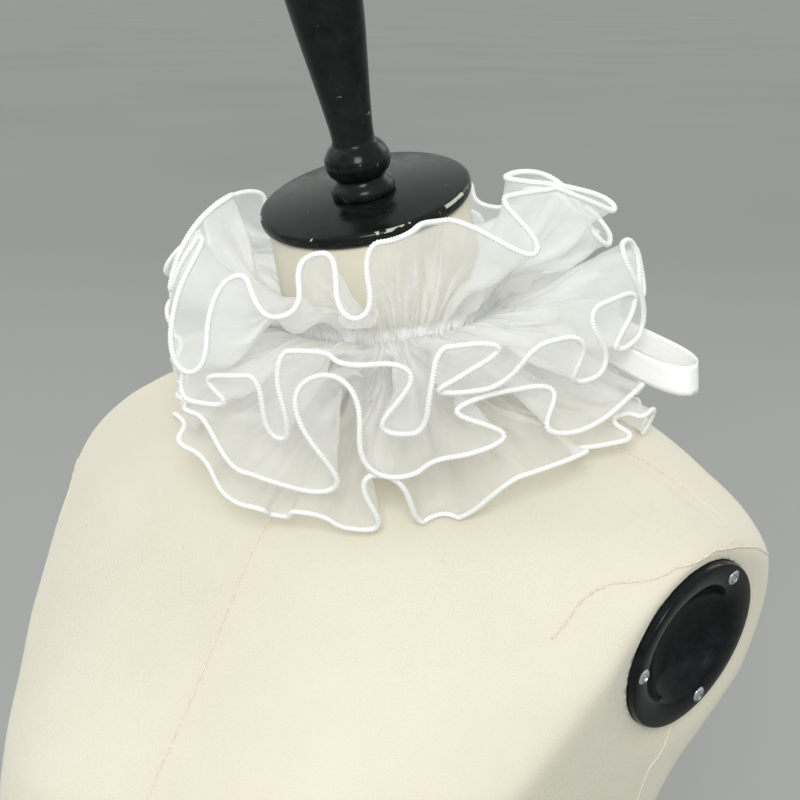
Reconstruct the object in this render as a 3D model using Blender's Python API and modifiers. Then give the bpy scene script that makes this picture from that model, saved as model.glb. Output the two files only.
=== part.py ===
import math

import bpy
import bmesh
import numpy as np
from mathutils import Vector
from mathutils.bvhtree import BVHTree

# Ruffled collar on a dress form. Metres, +Z up, front towards -Y.
# Tables are in millimetres and degrees and are turned to metres by MM.
MM = 0.001
OBJECT_NAME = "ruffled_collar_on_form"

# Where the middle of the neck cap's top face stands, above the flat bottom.
CAP_POINT = (0.0, 30.0, 470.0)
NECK_TILT = 18.0            # the neck leans forward
CAP_RADIUS = 53.5
CAP_THICK = 7.0
FIT_GAP = 0.35              # clear space between two pieces that meet

# The collar's own axis, its middle on the neck axis, and its walls.
COLLAR_TILT = 8.0
COLLAR_DOWN = 70.0          # along the neck axis below the cap
BAND_HEIGHT = 22.0
BAND_WALL = 1.2
BAND_CLEAR = 0.5
CLOTH_WALL = 1.1
HEM_CIRCLE = 62.0           # radius the folds' reach is measured from
AROUND_STRIP = 130
REACH_STEPS = (0.0, 0.3, 0.65, 1.0)
ROUNDNESS = 0.2             # how far each turn of a hem bulges sideways
OPEN_AT = 55.0              # the collar opens here, behind the left ear
STRIP_GAP = 6.0             # half the opening of the strips, in degrees
BAND_GAP = 8.0              # where the band starts to turn outward

# Each end of the band turns outward between the strips: how far from the
# middle of the opening, how far out, and how tall the ribbon is there.
BAND_END_COLUMNS = ("azimuth", "out", "height")
BAND_END = (
    (6.0, 0.05, 22.0), (4.2, 1.2, 21.0), (3.0, 4.5, 17.0),
    (2.2, 10.0, 12.0), (1.7, 16.0, 9.0),
)

# The bow, drawn in the collar's plane from the knot. A loop runs out on one
# side of its own middle line and back on the other.
KNOT_AZIMUTH = 55.0
KNOT_RADIUS = 75.2
KNOT_HEIGHT = -2.0
KNOT_SIZE = (9.0, 8.6, 10.0)
RIBBON_WALL = 1.0
LOOP_COLUMNS = ("along", "off", "width")
LOOP = (
    (4.7, 1.5, 8.0), (13.0, 3.6, 9.0), (26.0, 6.6, 11.0),
    (48.0, 9.5, 15.0), (74.0, 11.0, 15.0), (90.0, 10.4, 15.0),
    (99.0, 7.2, 15.0), (102.6, 2.6, 15.0),
)
LOOP_PLACE_COLUMNS = ("direction", "scale", "fall")
LOOP_PLACE = {
    "bow_loop_left": (-16.6, 1.18, 20.0),
    "bow_loop_right": (138.0, 0.92, 4.0),
}
# A tail leaves the knot on edge, turns flat and hangs over the lower frills.
TAIL_COLUMNS = ("out", "down", "twist", "width")
TAIL = (
    (0.0, 0.0, 0.0, 8.0), (10.0, 1.0, 12.0, 10.0), (24.0, 3.0, 45.0, 12.0),
    (40.0, 5.0, 78.0, 14.0), (56.0, 6.5, 90.0, 15.0), (64.0, 9.5, 90.0, 15.0),
    (69.0, 16.0, 90.0, 15.0), (71.0, 28.0, 90.0, 15.0),
    (72.0, 60.0, 90.0, 15.0), (71.0, 92.0, 90.0, 15.0),
    (72.0, 118.0, 90.0, 15.0),
)
TAIL_START = 4.75
TAIL_PLACE_COLUMNS = ("direction", "outward_scale", "downward_scale")
TAIL_PLACE = {
    "tie_tail_left": (84.0, 1.12, 1.0),
    "tie_tail_right": (103.0, 1.2, 0.9),
}

# The form's skin: one row a section. Height and depth are measured from the
# cap point, tilt turns the section about X, front and back are its depths.
SECTION_COLUMNS = ("depth", "height", "tilt", "half_width", "front", "back",
                   "front_fullness", "back_fullness")
SECTIONS = (
    (2.3, -7.4, 18, 50.5, 50.5, 50.5, 2.0, 2.0),
    (10.8, -33.3, 18, 51.5, 51.5, 51.5, 2.0, 2.0),
    (20.1, -61.8, 18, 52.5, 52.5, 52.5, 2.0, 2.0),
    (30.6, -94.2, 18, 54.5, 54.5, 54.5, 2.0, 2.0),
    (32.6, -101.0, 18, 66, 61, 57.5, 2.0, 2.0),
    (33, -107, 17, 88, 72, 60, 2.0, 2.1),
    (33, -114, 14, 116, 86, 66, 1.95, 2.1),
    (32, -123, 11, 147, 101, 73, 1.9, 2.3),
    (30, -135, 8, 175, 111, 79, 1.8, 2.5),
    (26, -150, 6, 196, 120, 83, 1.7, 2.8),
    (20, -170, 5, 210, 128, 88, 1.7, 2.9),
    (13, -196, 4, 216, 138, 94, 1.75, 2.9),
    (6, -224, 3, 211, 149, 99, 1.85, 2.9),
    (-1, -250, 1, 192, 157, 102, 2.0, 2.7),
    (-8, -274, 0, 176, 162, 104, 2.1, 2.5),
    (-14, -300, 0, 167, 162, 104, 2.15, 2.4),
    (-19, -328, 0, 160, 155, 102, 2.15, 2.3),
    (-23, -360, 0, 152, 142, 98, 2.1, 2.2),
    (-26, -400, 0, 141, 125, 92, 2.1, 2.1),
    (-28, -435, 0, 133, 113, 88, 2.1, 2.1),
    (-29, -470, 0, 130, 107, 87, 2.1, 2.1),
)
SKIN_AROUND = 46
SKIN_STEP = 24.0            # longest distance between rings of the skin
SHOULDER_LEAN = 2.8         # the right shoulder stands higher, in degrees

# Bust: two soft mounds on the front of the skin.
BUST = {"side": 84.0, "height": -298.0, "spread": 50.0, "rise": 24.0}

# Arm plate: a dished disc let into the flat end of each shoulder.
PLATE_POINT = (182.4, 8.7, -200.9)
PLATE_YAW = 10.0
PLATE_NOD = 13.6
PLATE_RADIUS = 43.6
PLATE_PROFILE_COLUMNS = ("radius", "out")
PLATE_PROFILE = (
    (0.0, -20.0), (28.0, -20.0), (43.0, -9.0), (43.6, -7.5), (43.6, 1.4),
    (42.6, 2.4), (34.0, 1.6), (31.6, 0.4), (28.6, -3.6), (23.0, -8.8),
    (14.0, -13.4), (0.0, -15.8),
)
POCKET_DEPTH = 20.4
SEAT_RADIUS = 47.0          # the skin is flat round the plate to here
SEAT_FADE = 62.0            # and rounds off into the shoulder by here
SEAT_DEPTH = 2.0            # how far the flat lies behind the plate's middle

# Finial on the cap: radius and height along the neck axis.
FINIAL_COLUMNS = ("radius", "up")
FINIAL = (
    (0.0, 0.35), (15.6, 0.35), (16.2, 2.0), (15.4, 5.0), (13.2, 7.6),
    (12.4, 9.4), (15.0, 12.0), (16.4, 16.0), (16.2, 20.0), (13.6, 24.6),
    (10.9, 27.4), (10.6, 31.0), (11.6, 42.0), (14.0, 62.0), (17.0, 86.0),
    (19.8, 112.0), (21.6, 134.0), (22.0, 148.0), (19.6, 160.0),
    (13.0, 168.0), (5.0, 171.0), (0.0, 171.5),
)

# Hems of the four frills, one row a turn of the fold: where it turns round
# the neck, how high it is tilted, how far it reaches, and how far the cloth
# that follows swings out over the next fold.
FOLD_COLUMNS = ("azimuth", "tilt", "reach", "swing")
TOP_FOLDS = (
    (-198, 30, 80, 0), (-175, 6, 72, 1), (-160, 42, 55, 0), (-136, 18, 50, 0),
    (-129, 80, 69, -3), (-118, 31, 62, -2), (-110, 55, 71, -2),
    (-94, 7, 82, 1), (-88, 42, 72, -2), (-76, 27, 80, 1), (-69, 54, 70, -1),
    (-60, 27, 73, 0), (-54, 49, 86, -3), (-34, 68, 68, -3), (-20, 39, 76, 1),
    (-17, 63, 79, -1), (-5, 57, 84, -3), (9, 41, 82, 3), (-1, 78, 74, 2),
    (32, 28, 60, 0), (47, 36, 60, 0), (62, 20, 66, 0), (80, 26, 72, 0),
    (95, 12, 76, 0), (110, 27, 78, 0), (124, 14, 76, 0), (138, 30, 78, 0),
    (150, 14, 76, 0),
)
UPPER_FOLDS = (
    (-192, 9, 72, 0), (-175, -7, 62, 0), (-158, 7, 56, 0), (-140, -8, 51, 0),
    (-122, 7, 50, 0), (-112, -3, 59, 0), (-106, 8, 67, 0), (-98, -5, 73, 2),
    (-81, 10, 79, 0), (-77, -14, 74, 0), (-72, 19, 83, 1), (-56, 14, 84, 3),
    (-51, -11, 78, -1), (-44, 17, 86, 6), (-36, -1, 70, -1), (-25, 13, 86, 0),
    (-9, -9, 72, 2), (-7, 17, 75, 5), (13, -7, 70, 2), (9, 32, 78, 0),
    (22, 5, 69, 0), (33, 18, 70, 0), (48, 9, 70, 0), (62, 14, 68, 0),
    (78, 10, 74, 0), (94, 1, 74, 0), (108, 13, 76, 0), (122, 1, 74, 0),
    (137, 10, 76, 0), (152, -7, 74, 0),
)
LOWER_FOLDS = (
    (-192, -8, 72, 0), (-176, -22, 66, 0), (-160, -10, 58, 0),
    (-142, -26, 52, 0), (-124, -10, 51, 0), (-112, -5, 60, 0),
    (-98, -1, 72, -2), (-85, -18, 79, -2), (-73, -30, 73, 3), (-66, 18, 79, 0),
    (-55, -20, 76, 0), (-44, -14, 76, 5), (-31, 4, 66, 2), (-13, -16, 78, 0),
    (5, -14, 76, 0), (20, -25, 72, 0), (35, -29, 72, 0), (48, -22, 72, 0),
    (63, -31, 72, 0), (79, -24, 76, 0), (95, -33, 74, 0), (109, -22, 76, 0),
    (123, -30, 74, 0), (138, -14, 76, 0), (153, -24, 74, 0),
)
BOTTOM_FOLDS = (
    (-188, -26, 66, 0), (-172, -40, 64, 0), (-156, -27, 62, 0),
    (-140, -42, 60, 0), (-126, -29, 59, 0), (-115, -13, 61, 1),
    (-101, -14, 75, -1), (-87, -30, 82, 1), (-81, -39, 78, 0),
    (-77, -34, 78, 0), (-62, -43, 80, 1), (-59, -17, 74, -1),
    (-46, -48, 77, -3), (-30, -21, 83, -1), (-18, -20, 83, 1),
    (-12, -27, 73, -1), (-2, -24, 84, 1), (1, -22, 72, 1), (5, -18, 84, 0),
    (15, -34, 84, 0), (27, -34, 78, 0), (45, -44, 78, 0), (60, -41, 78, 0),
    (76, -48, 80, 0), (92, -42, 80, 0), (108, -48, 80, 0), (124, -36, 80, 0),
    (140, -38, 76, 0), (156, -33, 72, 0),
)
# How high above the form's skin each frill stays.
REST_CLEAR = {"top": 20.0, "upper": 14.0, "lower": 8.0, "bottom": 2.6}
SKIN_CLEAR = 2.2
# Each frill: its table, the height it springs from, the height its reach is
# measured from and the angle at which it leaves the band.
FRILLS = {
    "top": (TOP_FOLDS, 9.5, 7.0, 62.0),
    "upper": (UPPER_FOLDS, 3.5, 4.0, 12.0),
    "lower": (LOWER_FOLDS, -3.5, -7.0, -12.0),
    "bottom": (BOTTOM_FOLDS, -9.5, -10.0, -62.0),
}


def turn_frame(tilt):
    """Axis and backward direction of something tilted forward by tilt."""
    a = math.radians(tilt)
    axis = np.array([0.0, -math.sin(a), math.cos(a)])
    back = np.array([0.0, math.cos(a), math.sin(a)])
    return axis, back


CAP = np.array(CAP_POINT)
NECK_AXIS, NECK_BACK = turn_frame(NECK_TILT)
COLLAR_AXIS, COLLAR_BACK = turn_frame(COLLAR_TILT)
COLLAR_POINT = CAP - COLLAR_DOWN * NECK_AXIS
SIDE = np.array([1.0, 0.0, 0.0])


def collar_place(azimuth, radius, height):
    """A point of the collar's own round frame, in millimetres."""
    a = np.radians(azimuth)
    return (COLLAR_POINT + np.multiply.outer(radius * np.cos(a), SIDE)
            + np.multiply.outer(radius * np.sin(a), COLLAR_BACK)
            + np.multiply.outer(height + 0.0 * a, COLLAR_AXIS))


def material(name, colour, rough, metal=0.0):
    mat = bpy.data.materials.new(name)
    mat.use_nodes = True
    shader = mat.node_tree.nodes["Principled BSDF"]
    shader.inputs["Base Color"].default_value = (*colour, 1.0)
    shader.inputs["Roughness"].default_value = rough
    shader.inputs["Metallic"].default_value = metal
    mat.diffuse_color = (*colour, 1.0)
    return mat


def make_object(name, points, faces, mat, home):
    """A mesh object whose faces all point outward or all one way."""
    mesh = bpy.data.meshes.new(name)
    mesh.from_pydata([tuple(p * MM) for p in np.asarray(points)], [], faces)
    mesh.validate()
    bm = bmesh.new()
    bm.from_mesh(mesh)
    bmesh.ops.recalc_face_normals(bm, faces=bm.faces)
    bm.to_mesh(mesh)
    bm.free()
    mesh.shade_smooth()
    obj = bpy.data.objects.new(name, mesh)
    obj.data.materials.append(mat)
    home.objects.link(obj)
    return obj


def grid_faces(rows, around, closed=True):
    """Quads of a grid of rows, closed around or left open."""
    faces = []
    for i in range(rows - 1):
        for j in range(around if closed else around - 1):
            k = (j + 1) % around
            faces.append((i * around + j, i * around + k,
                          (i + 1) * around + k, (i + 1) * around + j))
    return faces


def turned(name, profile, centre, axis, around, mat, home):
    """A turned solid: rows of radius and height, bottom to top, screwed."""
    mesh = bpy.data.meshes.new(name)
    outline = [(r * MM, 0.0, h * MM) for r, h in reversed(profile)]
    edges = [(i, i + 1) for i in range(len(outline) - 1)]
    mesh.from_pydata(outline, edges, [])
    obj = bpy.data.objects.new(name, mesh)
    obj.data.materials.append(mat)
    home.objects.link(obj)
    obj.location = Vector(tuple(np.asarray(centre) * MM))
    obj.rotation_mode = "QUATERNION"
    obj.rotation_quaternion = Vector((0.0, 0.0, 1.0)).rotation_difference(
        Vector(tuple(axis)))
    screw = obj.modifiers.new("turned", "SCREW")
    screw.axis = "Z"
    screw.steps = around
    screw.render_steps = around
    screw.use_merge_vertices = True
    screw.merge_threshold = 0.00005
    screw.use_smooth_shade = True
    return obj


def smooth_rows(table, longest):
    """Rows read from a table by a curve that never overshoots it."""
    rows = np.array(table, float)
    step = np.linalg.norm(np.diff(rows[:, [0, 1, 3]], axis=0), axis=1)
    place = np.concatenate([[0.0], np.cumsum(step)])
    rate = np.diff(rows, axis=0) / step[:, None]
    slope = np.zeros_like(rows)
    before, after = rate[:-1], rate[1:]
    same = before * after > 0
    total = np.where(same, before + after, 1.0)
    slope[1:-1] = np.where(same, 2 * before * after / total, 0.0)
    slope[0], slope[-1] = rate[0], rate[-1]
    parts = [np.linspace(a, b, math.ceil((b - a) / longest) + 1)[:-1]
             for a, b in zip(place[:-1], place[1:])]
    at = np.concatenate(parts + [place[-1:]])
    k = np.clip(np.searchsorted(place, at, side="right") - 1,
                0, len(place) - 2)
    w = step[k][:, None]
    t = (at - place[k])[:, None] / w
    return ((2 * t**3 - 3 * t**2 + 1) * rows[k]
            + (t**3 - 2 * t**2 + t) * w * slope[k]
            + (-2 * t**3 + 3 * t**2) * rows[k + 1]
            + (t**3 - t**2) * w * slope[k + 1])


def plate_frame(side):
    yaw, nod = math.radians(PLATE_YAW), math.radians(PLATE_NOD)
    out = np.array([side * math.cos(yaw) * math.cos(nod),
                    -math.sin(yaw) * math.cos(nod), -math.sin(nod)])
    centre = CAP + np.array([side * PLATE_POINT[0], PLATE_POINT[1],
                             PLATE_POINT[2]])
    return centre, out


def skin_points():
    """The form's skin, ring by ring, with bust and flat arm ends."""
    rows = smooth_rows(SECTIONS, SKIN_STEP)
    turn = np.arange(SKIN_AROUND) * 2 * math.pi / SKIN_AROUND
    rings = []
    for depth, height, tilt, wide, front, back, full, full_back in rows:
        _, rear = turn_frame(tilt)
        ahead = np.sin(turn) < -1e-9
        deep = np.where(ahead, front, back)
        power = 2.0 / np.where(ahead, full, full_back)
        across = np.sign(np.cos(turn)) * np.abs(np.cos(turn)) ** power
        along = np.sign(np.sin(turn)) * np.abs(np.sin(turn)) ** power
        middle = CAP + np.array([0.0, depth, height])
        ring = (middle + np.multiply.outer(wide * across, SIDE)
                + np.multiply.outer(deep * along, rear))
        rings.append(ring)
    points = np.array(rings)
    local = points - CAP
    below = np.clip((-100.0 - local[..., 2]) / 30.0, 0.0, 1.0)
    above = np.clip((local[..., 2] + 330.0) / 100.0, 0.0, 1.0)
    lean = math.tan(math.radians(SHOULDER_LEAN))
    points[..., 2] -= lean * points[..., 0] * below * above
    for side in (-1.0, 1.0):
        off = ((local[..., 0] - side * BUST["side"]) ** 2
               + (local[..., 2] - BUST["height"]) ** 2)
        rise = BUST["rise"] * np.exp(-off / (2 * BUST["spread"] ** 2))
        points[..., 1] -= np.where(local[..., 1] < -20.0, rise, 0.0)
    for side in (-1.0, 1.0):
        centre, out = plate_frame(side)
        over = (points - centre) @ out
        soft = 4.0
        near = -soft * np.log1p(np.exp(-np.clip(over / soft, -30, 30)))
        shift = np.where(over > -30.0, over - near, 0.0)
        points -= shift[..., None] * out
        over = (points - centre) @ out
        flat = points - centre - over[..., None] * out
        away = np.linalg.norm(flat, axis=-1)
        hold = np.clip((SEAT_FADE - away) / (SEAT_FADE - SEAT_RADIUS), 0, 1)
        hold = np.where(over > -40.0, hold * hold * (3 - 2 * hold), 0.0)
        points -= ((over + SEAT_DEPTH) * hold)[..., None] * out
    points[-1, :, 2] = 0.0
    return points


def build_form(home, tools, mats):
    points = skin_points()
    rows, around, _ = points.shape
    surface = BVHTree.FromPolygons(
        [Vector(p) for p in points.reshape(-1, 3)],
        [face[::-1] for face in grid_faces(rows, around)])
    flat = points.reshape(-1, 3)
    faces = grid_faces(rows, around)
    faces.append(tuple(range(around)))
    faces.append(tuple((rows - 1) * around + j for j in range(around)))
    skin = make_object("form_body", flat, faces, mats["jersey"], home)
    for name, side in (("left", 1.0), ("right", -1.0)):
        centre, out = plate_frame(side)
        profile = ((0.0, -POCKET_DEPTH), (28.3, -POCKET_DEPTH),
                   (PLATE_RADIUS + FIT_GAP, -9.0),
                   (PLATE_RADIUS + FIT_GAP, 30.0), (0.0, 30.0))
        tool = turned("pocket_tool_" + name, profile, centre, out, 36,
                      mats["jersey"], tools)
        tool.hide_render = True
        tool.display_type = "WIRE"
        cut = skin.modifiers.new("pocket_" + name, "BOOLEAN")
        cut.operation = "DIFFERENCE"
        cut.solver = "EXACT"
        cut.object = tool
        turned("arm_plate_" + name, PLATE_PROFILE, centre, out, 36,
               mats["plate"], home)
    low = -CAP_THICK
    cap = ((0.0, low), (CAP_RADIUS - 1.6, low),
           (CAP_RADIUS - 0.4, low + 1.2), (CAP_RADIUS, low + 3.0),
           (CAP_RADIUS, -2.4), (CAP_RADIUS - 0.7, -0.9),
           (CAP_RADIUS - 2.4, 0.0), (0.0, 0.0))
    turned("neck_cap", cap, CAP, NECK_AXIS, 44, mats["lacquer"], home)
    turned("cap_finial", FINIAL, CAP, NECK_AXIS, 24, mats["lacquer"], home)
    return surface


def neck_radius(down):
    """Radius of the neck at a distance along its axis below the cap."""
    rows = smooth_rows(SECTIONS, SKIN_STEP)
    rows = rows[rows[:, 2] > NECK_TILT - 0.5]
    places = -(rows[:, 0] * NECK_AXIS[1] + rows[:, 1] * NECK_AXIS[2])
    return np.interp(down, places, rows[:, 3])


def snug_radius(azimuth, height):
    """Radius in the collar's frame that just clears the neck."""
    azimuth = np.asarray(azimuth, float)
    radius = np.full(azimuth.shape, 56.0)
    for _ in range(6):
        place = collar_place(azimuth, radius, height) - CAP
        along = place @ NECK_AXIS
        off = np.linalg.norm(place - along[..., None] * NECK_AXIS, axis=-1)
        radius = radius + neck_radius(-along) + BAND_CLEAR - off
    return radius


def hem_curve(table, samples=24):
    """The hem as azimuth, tilt and reach at close steps round the neck."""
    rows = np.array(table, float)
    following = np.vstack([rows[1:], rows[0] + (360.0, 0, 0, 0)])
    w = np.arange(samples) / samples
    ease = (1 - np.cos(math.pi * w)) / 2
    out = []
    for here, there in zip(rows, following):
        step = there - here
        steep = min(1.0, abs(step[1]) / 20.0)
        swing = here[3] + ROUNDNESS * abs(step[0]) * steep
        azimuth = here[0] + step[0] * w + swing * np.sin(2 * math.pi * w)
        out.append(np.stack([azimuth, here[1] + step[1] * ease,
                             here[2] + step[2] * ease], axis=1))
    return np.concatenate(out)


def frill_grid(name, roots):
    """Points of one frill, a row for each root, out to the hem."""
    table, spring, level, launch = FRILLS[name]
    hem = hem_curve(table)
    count = len(hem)
    window = count // 16
    steady = np.concatenate([hem[-window:, 0] - 360.0, hem[:, 0],
                             hem[:window, 0] + 360.0])
    kernel = np.hanning(2 * window + 1)
    kernel /= kernel.sum()
    root = np.convolve(steady, kernel, mode="valid")
    ring = np.concatenate([root - 360.0, root, root + 360.0])
    every = np.concatenate([hem - (360.0, 0, 0), hem, hem + (360.0, 0, 0)])
    azimuth, tilt, reach = (np.interp(roots, ring, every[:, k])
                            for k in range(3))
    start = (snug_radius(roots, spring) + BAND_WALL + FIT_GAP
             + CLOTH_WALL / 2)
    grid = []
    for t in REACH_STEPS:
        turn = min(t / 0.7, 1.0)
        turn = turn * turn * (3 - 2 * turn)
        angle = np.radians(launch + (tilt - launch) * turn)
        radius = start + (HEM_CIRCLE - start) * t + t * reach * np.cos(angle)
        height = spring + (level - spring) * t + t * reach * np.sin(angle)
        grid.append(collar_place(roots + (azimuth - roots) * t,
                                 radius, height))
    return np.array(grid)


def even_roots(names):
    """Root azimuths that share out the length of both hems evenly."""
    first = OPEN_AT - 360.0 + STRIP_GAP
    last = OPEN_AT - STRIP_GAP
    fine = np.linspace(first, last, 1441)
    travel = np.zeros(len(fine))
    for name in names:
        hem = frill_grid(name, fine)[-1]
        step = np.linalg.norm(np.diff(hem, axis=0), axis=1)
        travel[1:] += np.cumsum(step)
    travel += (fine - first) * 1.5
    at = np.linspace(0.0, travel[-1], AROUND_STRIP)
    return np.interp(at, travel, fine)


def lift_off(grid, skin, clear):
    """Lay cloth on the form: move out what would sink into the skin."""
    for place in grid[1:].reshape(-1, 3):
        start = Vector(place) + Vector((0.0, 0.0, 45.0))
        hit, normal, _, _ = skin.ray_cast(start, Vector((0.0, 0.0, -1.0)))
        if hit is not None and normal.z > 0.5:
            place[2] = max(place[2], hit.z + clear)
        near, normal, _, _ = skin.find_nearest(Vector(place))
        off = normal.dot(Vector(place) - near)
        if off < SKIN_CLEAR:
            place += np.array(normal) * (SKIN_CLEAR - off)
    return grid


def cloth(name, grid, wall, mat, home):
    """An open sheet given its wall by Solidify."""
    rows, around, _ = grid.shape
    obj = make_object(name, grid.reshape(-1, 3),
                      grid_faces(rows, around, closed=False), mat, home)
    solid = obj.modifiers.new("wall", "SOLIDIFY")
    solid.thickness = wall * MM
    solid.offset = 0.0
    solid.use_rim = True
    return obj


def build_strip(name, above, below, skin, mat, home):
    roots = even_roots((above, below))
    high = lift_off(frill_grid(above, roots), skin, REST_CLEAR[above])
    low = lift_off(frill_grid(below, roots), skin, REST_CLEAR[below])
    mid = np.concatenate([high[::-1], low])
    return cloth(name, mid, CLOTH_WALL, mat, home)


def build_band(mat, home):
    ring = np.linspace(OPEN_AT - 360.0 + BAND_GAP, OPEN_AT - BAND_GAP, 44)
    end = np.array(BAND_END)
    azimuth = np.concatenate([OPEN_AT - 360.0 + end[::-1, 0], ring,
                              OPEN_AT - end[:, 0]])
    out = np.concatenate([end[::-1, 1], 0.0 * ring, end[:, 1]])
    tall = np.concatenate([end[::-1, 2], BAND_HEIGHT + 0.0 * ring,
                           end[:, 2]])
    rows = []
    for part in (0.5, 0.0, -0.5):
        height = tall * part + KNOT_HEIGHT * out / end[-1, 1]
        radius = snug_radius(azimuth, height) + BAND_WALL / 2 + out
        rows.append(collar_place(azimuth, radius, height))
    return cloth("neck_band", np.array(rows), BAND_WALL, mat, home)


def eased(table, pieces):
    """A smooth line through a table's rows, each step cut into pieces."""
    rows = np.array(table, float)
    spot = np.linspace(0.0, len(rows) - 1.0, pieces * (len(rows) - 1) + 1)
    k = np.minimum(spot.astype(int), len(rows) - 2)
    t = (spot - k)[:, None]
    slope = np.gradient(rows, axis=0)
    return ((2 * t**3 - 3 * t**2 + 1) * rows[k]
            + (t**3 - 2 * t**2 + t) * slope[k]
            + (-2 * t**3 + 3 * t**2) * rows[k + 1]
            + (t**3 - t**2) * slope[k + 1])


def plan_axes(direction):
    """Unit vectors along and across a direction in the collar's plane."""
    a = math.radians(direction)
    return (math.cos(a) * SIDE + math.sin(a) * COLLAR_BACK,
            -math.sin(a) * SIDE + math.cos(a) * COLLAR_BACK)


def build_bow(mat, home):
    knot = collar_place(KNOT_AZIMUTH, KNOT_RADIUS, KNOT_HEIGHT)
    mesh = bpy.data.meshes.new("tie_knot")
    bm = bmesh.new()
    bmesh.ops.create_uvsphere(bm, u_segments=16, v_segments=10,
                              radius=0.5 * MM)
    bm.to_mesh(mesh)
    bm.free()
    mesh.shade_smooth()
    mesh.materials.append(mat)
    ball = bpy.data.objects.new("tie_knot", mesh)
    ball.location = Vector(tuple(knot * MM))
    ball.rotation_euler = (math.radians(COLLAR_TILT), 0.0,
                           math.radians(KNOT_AZIMUTH - 90.0))
    ball.scale = KNOT_SIZE
    home.objects.link(ball)
    half = eased(LOOP, 2)
    line = np.concatenate([half, half[::-1] * (1.0, -1.0, 1.0)])
    for name, (direction, scale, fall) in LOOP_PLACE.items():
        ahead, across = plan_axes(direction)
        grid = []
        for edge in (0.5, -0.5):
            far = line[:, 0] / LOOP[-1][0]
            up = edge * line[:, 2] - fall * far
            out = LOOP[0][0] + (line[:, 0] - LOOP[0][0]) * scale
            grid.append(knot + np.multiply.outer(out, ahead)
                        + np.multiply.outer(line[:, 1], across)
                        + np.multiply.outer(up, COLLAR_AXIS))
        cloth(name, np.array(grid), RIBBON_WALL, mat, home)
    line = eased(TAIL, 2)
    down = np.array([0.0, 0.0, -1.0])
    for name, (direction, wide_scale, tall_scale) in TAIL_PLACE.items():
        ahead, across = plan_axes(direction)
        twist = np.radians(line[:, 2])
        out = TAIL_START + line[:, 0] * wide_scale
        middle = (knot + np.multiply.outer(out, ahead)
                  + np.multiply.outer(line[:, 1] * tall_scale, down))
        grid = []
        for edge in (0.5, -0.5):
            wide = edge * line[:, 3]
            grid.append(middle
                        + np.multiply.outer(wide * np.cos(twist),
                                            COLLAR_AXIS)
                        + np.multiply.outer(wide * np.sin(twist),
                                            across))
        cloth(name, np.array(grid), RIBBON_WALL, mat, home)


def build():
    for obj in list(bpy.data.objects):
        bpy.data.objects.remove(obj, do_unlink=True)
    home = bpy.data.collections.new(OBJECT_NAME)
    bpy.context.scene.collection.children.link(home)
    tools = bpy.data.collections.new("pocket_tools")
    bpy.context.scene.collection.children.link(tools)
    mats = {
        "organza": material("white_organza", (0.90, 0.91, 0.89), 0.45),
        "ribbon": material("white_ribbon", (0.93, 0.93, 0.91), 0.5),
        "jersey": material("cream_jersey", (0.80, 0.74, 0.60), 0.8),
        "lacquer": material("black_lacquer", (0.012, 0.014, 0.013), 0.18),
        "plate": material("black_plate", (0.015, 0.016, 0.017), 0.3),
    }
    skin = build_form(home, tools, mats)
    build_band(mats["ribbon"], home)
    build_strip("ruffle_upper", "top", "upper", skin, mats["organza"], home)
    build_strip("ruffle_lower", "lower", "bottom", skin, mats["organza"],
                home)
    build_bow(mats["ribbon"], home)


build()
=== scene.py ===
import math

import bpy
import bmesh
import numpy as np
from mathutils import Matrix, Vector
from mathutils.bvhtree import BVHTree


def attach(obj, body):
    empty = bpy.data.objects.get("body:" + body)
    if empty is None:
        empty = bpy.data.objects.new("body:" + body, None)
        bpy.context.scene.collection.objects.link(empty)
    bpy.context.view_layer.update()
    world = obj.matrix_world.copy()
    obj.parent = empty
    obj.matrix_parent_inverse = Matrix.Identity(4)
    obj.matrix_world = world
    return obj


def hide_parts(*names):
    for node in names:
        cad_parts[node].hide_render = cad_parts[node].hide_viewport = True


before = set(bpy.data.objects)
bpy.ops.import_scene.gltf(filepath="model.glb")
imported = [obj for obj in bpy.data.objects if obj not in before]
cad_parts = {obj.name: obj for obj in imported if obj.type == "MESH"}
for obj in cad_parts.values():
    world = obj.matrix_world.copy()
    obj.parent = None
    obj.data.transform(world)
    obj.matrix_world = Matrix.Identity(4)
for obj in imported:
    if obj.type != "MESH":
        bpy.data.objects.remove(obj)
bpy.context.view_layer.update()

# Tables are in millimetres and degrees, in the frame's own axes.
MM = 0.001
SEED = 11
outer = np.multiply.outer

CAP_POINT = (0.0, 30.0, 470.0)
NECK_TILT = 18.0
CAP_RADIUS = 53.5
CAP_THICK = 7.0
COLLAR_TILT = 8.0
COLLAR_DOWN = 70.0
BAND_HEIGHT = 22.0
BAND_WALL = 1.2
BAND_CLEAR = 0.5
FIT_GAP = 0.35
CLOTH_WALL = 1.1
HEM_CIRCLE = 62.0
ROUNDNESS = 0.2
FOLD_SAMPLES = 48
FULL_TILT = 20.0            # a change of tilt that rounds a fold fully
TURN_SHARE = 0.7            # share of a frill's depth that it turns over
OPEN_AT = 55.0
STRIP_GAP = 6.0
BAND_GAP = 8.0
# columns: azimuth, out, height
BAND_END = (
    (6.0, 0.05, 22.0), (4.2, 1.2, 21.0), (3.0, 4.5, 17.0),
    (2.2, 10.0, 12.0), (1.7, 16.0, 9.0),
)
KNOT_AZIMUTH = 55.0
KNOT_RADIUS = 75.2
KNOT_HEIGHT = -2.0
KNOT_SIZE = (9.0, 8.6, 10.0)
KNOT_ROWS = 25
KNOT_AROUND = 48
# columns: along, off, width
LOOP = (
    (4.7, 1.5, 8.0), (13.0, 3.6, 9.0), (26.0, 6.6, 11.0),
    (48.0, 9.5, 15.0), (74.0, 11.0, 15.0), (90.0, 10.4, 15.0),
    (99.0, 7.2, 15.0), (102.6, 2.6, 15.0),
)
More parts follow.
